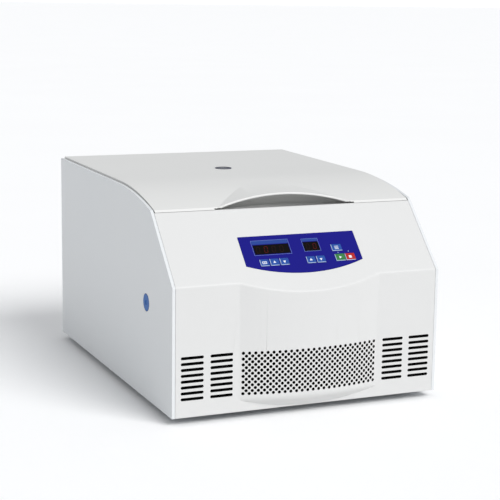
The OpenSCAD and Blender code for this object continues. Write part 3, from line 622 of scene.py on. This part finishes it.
# ---------- Chamber ----------
# The bowl is deep-drawn stainless steel, polished on a lathe, so its marks run round the axis. A
# grey rubber seal is pressed over its rim, and a thick iron ring round it stops a burst rotor.
shaft_low, shaft_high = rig.box("motor_shaft")
AXIS_Y = (shaft_low.y + shaft_high.y) / 2


def vector_step(tree, operation, constant, source):
    """A vector node that works on a point and a constant."""
    step = add_node(tree, "ShaderNodeVectorMath", {"operation": operation}, {1: constant}, {0: source})
    return step.outputs[0]


def turned(tree, point):
    """Lathe marks: the grain depends only on the distance from the rotor's axis and on height."""
    offset = vector_step(tree, "SUBTRACT", (0, AXIS_Y, 0), point)
    level = vector_step(tree, "MULTIPLY", (1, 1, 0), offset)
    out = add_node(tree, "ShaderNodeVectorMath", {"operation": "LENGTH"}, links={0: level})
    rise = add_node(tree, "ShaderNodeSeparateXYZ", links={"Vector": point})
    parts = {"X": out.outputs["Value"], "Z": rise.outputs["Z"]}
    return add_node(tree, "ShaderNodeCombineXYZ", links=parts).outputs[0]


def brushed(tree, point):
    """Brush marks: the grain is drawn out across the width."""
    return vector_step(tree, "MULTIPLY", (0.03, 1, 1), point)


polished_bowl = finish("spun_stainless_steel", "#C6C8CA", "#B4B7BA", 6, 0.3, 0.5, 0.004, 0.16, turned,
                       Metallic=1.0)
rounded("chamber_bowl", polished_bowl, 0.4)
black_rubber = finish("moulded_black_rubber", "#1A1A1B", "#222224", 40, 0.75, 0.8, 0.03)
rounded("chamber_seal", black_rubber, 1.2, steps=3)
cast_iron = finish("black_cast_iron", "#323436", "#27292B", 30, 0.6, 1.4, 0.12)
rounded("guard_ring", cast_iron, 1.5, steps=3)

# ---------- Rotor ----------
# The four-armed yoke is turned and milled from aluminium and anodised clear. It sits on a ground
# steel shaft and is held by one nut.
anodised = finish("clear_anodised_aluminium", "#B4B8BC", "#A6ABB0", 5, 0.34, 0.4, 0.004, 0.12, turned,
                  Metallic=1.0)
ground_steel = finish("ground_steel", "#BDBEC0", "#A9ABAE", 4, 0.24, 0.3, 0.002, 0.1, turned, Metallic=1.0)
rounded("rotor_yoke", anodised, 0.6, steps=3)
rounded("motor_shaft", ground_steel, 0.3)
rounded("rotor_nut", ground_steel, 0.5)

# ---------- Buckets ----------
# Each bucket is turned from stainless steel, bead-blasted to an even satin, with a slotted lug on
# each side that hangs on the yoke's pin. Its cup is left open to take a tube carrier.
blasted_steel = finish("bead_blasted_stainless_steel", "#A9AEB4", "#999FA6", 30, 0.42, 0.4, 0.01, 0.1,
                       Metallic=1.0)
for number in (1, 2, 3, 4):
    rounded("bucket_%d" % number, blasted_steel, 0.6, steps=3)

# ---------- Motor ----------
# An induction motor in a ribbed aluminium body with grey enamel, hung on a zinc-plated plate over
# four soft rubber dampers. A rubber boot closes the gap round the shaft under the bowl.
motor_enamel = finish("grey_motor_enamel", "#66737C", "#5B6871", 45, 0.35, 1.2, 0.05,
                      Coat_Weight=0.3, Coat_Roughness=0.2)
zinc_sheet = finish("zinc_plated_sheet", "#BFC3C6", "#A3A8AD", 18, 0.42, 1.1, 0.01, 0.2, Metallic=1.0)
rounded("motor_body", motor_enamel, 0.5)
rounded("motor_plate", zinc_sheet, 0.4)
rounded("motor_dampers", black_rubber, 0.8, steps=3)
rounded("shaft_boot", black_rubber, 0.5)
rounded("imbalance_switch", black_plastic, 0.3)

# ---------- Motor drive ----------
# The speed controller: a finned aluminium heat sink, bare and a little dull, with the power stage
# in a cast box at its end.
bare_aluminium = finish("bare_cast_aluminium", "#9EA2A5", "#8C9094", 25, 0.5, 1.0, 0.04, 0.15, Metallic=1.0)
rounded("motor_drive", bare_aluminium, 0.4)

# ---------- Base plate and feet ----------
# The base is one sheet of galvanised steel, folded up at its edges and slotted for air. Four solid
# rubber feet are screwed up under it.
rounded("base_plate", zinc_sheet, 0.3)
rounded("feet", black_rubber, 1.0, steps=3)

# ---------- Lid underside and sight glass ----------
# A stainless liner closes the lid from below, held by six countersunk screws. A small smoked
# acrylic window in a dark blue ring goes right through, so that a strobe can read the speed.
brushed_liner = finish("brushed_stainless_sheet", "#C9CBCD", "#B9BCBF", 9, 0.34, 0.5, 0.004, 0.14, brushed,
                       Metallic=1.0)
screw_steel = finish("plated_screw_steel", "#B5B6B8", "#9FA1A4", 6, 0.32, 0.4, 0.004, 0.12, Metallic=1.0)
bezel_blue = finish("dark_blue_moulding", "#1B2340", "#222B4A", 20, 0.4, 0.6, 0.01)
smoked_acrylic = finish("smoked_acrylic", "#2A3148", "#303850", 20, 0.06, 0.5, 0.0005, 0.02,
                        Transmission_Weight=0.75, IOR=1.49)
rounded("lid_liner", brushed_liner, 0.4)
rounded("lid_screws", screw_steel, 0.15)
rounded("sight_bezel", bezel_blue, 0.25)
rounded("sight_glass", smoked_acrylic, 0.3, steps=3)

# ---------- Hinges ----------
# Folded zinc-plated arms and brackets on ground pins. Two torsion springs on each side take the
# weight of the lid.
spring_steel = finish("drawn_spring_steel", "#808285", "#6E7073", 6, 0.32, 0.3, 0.004, 0.1, Metallic=1.0)
rounded("hinge_arms", zinc_sheet, 0.3)
rounded("hinge_brackets", zinc_sheet, 0.3)
rounded("hinge_pins", ground_steel, 0.4)
rounded("hinge_springs", spring_steel, 0)

# ---------- Lid lock ----------
# A solenoid throws a steel bolt through the striker under the lid. The bolt's flat link runs down
# the left side, where the emergency release pulls it by hand.
coil_tape = finish("yellow_coil_tape", "#C2902E", "#B08026", 15, 0.4, 1.5, 0.03)
rounded("lid_striker", zinc_sheet, 0.3)
rounded("latch_housing", zinc_sheet, 0.3)
rounded("solenoid", coil_tape, 0.5)
rounded("lock_bolt", screw_steel, 0.3)
latch_spring = rounded("latch_spring", spring_steel, 0)
spring_low, spring_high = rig.box("latch_spring")
LOCK_TRAVEL = 12 * MM
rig.squash(latch_spring, "lock_slide", axis=(1, 0, 0), anchor=tuple(spring_high),
          keep=1 - LOCK_TRAVEL / (spring_high.x - spring_low.x))

# ---------- Release plug ----------
# A round push-in cap of royal blue plastic, its rim rolled over. It closes the hole to the
# emergency release.
PLUG_FLAT_RADIUS = 11.8 * MM
plug_blue = finish("moulded_blue_plastic", "#1F63AE", "#1A589E", 12, 0.4, 0.6, 0.006, Specular_IOR_Level=0.2)
# Painted shade: a darker copy of the plug's blue for its rolled rim.
plug_rim_painted_shade = finish("blue_plastic_painted_shade", "#123F73", "#0F3868", 12, 0.4, 0.6, 0.006, Specular_IOR_Level=0.2)
plug = rounded("release_plug", plug_blue, 0.9, steps=3)
plug.data.materials.append(plug_rim_painted_shade)
plug_low, plug_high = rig.box("release_plug")
# Painted shade: the faces beyond the flat middle, on the rolled rim, take the darker blue.
for face in plug.data.polygons:
    across = face.center - (plug_low + plug_high) / 2
    face.material_index = int(math.hypot(across.y, across.z) > PLUG_FLAT_RADIUS)

# ---------- Fan ----------
# A boxed axial fan moulded in glass-filled black plastic, behind a guard of welded and nickelled
# steel wire.
nickel_wire = finish("nickelled_wire", "#C4C3BF", "#B3B2AE", 8, 0.22, 0.4, 0.003, 0.1, Metallic=1.0)
rounded("fan_frame", black_plastic, 0.5)
rounded("fan_blades", black_plastic, 0.4)
rounded("fan_guard", nickel_wire, 0)

# ---------- Mains inlet and switch ----------
# The inlet and the switch's frame are glossy black thermoplastic. The rocker is a clear red
# moulding that a lamp lights from behind.
glossy_black = finish("glossy_black_plastic", "#0F0F10", "#151516", 30, 0.25, 0.6, 0.004)
rocker_red = finish("moulded_red_plastic", "#A81711", "#98120D", 10, 0.25, 0.5, 0.003,
                    Coat_Weight=0.3, Coat_Roughness=0.1)
rounded("power_inlet", glossy_black, 0.3)
rounded("switch_frame", glossy_black, 0.3)
rounded("switch_rocker", rocker_red, 0.4)

# ---------- Fixings ----------
# Cross-headed pan screws of zinc-plated steel. They are driven from behind and hold the rear panel
# to the casing.
rounded("case_screws", screw_steel, 0.15)

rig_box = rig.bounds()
json.dump({"cad": [list(v) for v in cad_box], "visual": [list(v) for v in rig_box]}, open("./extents.json", "w"))
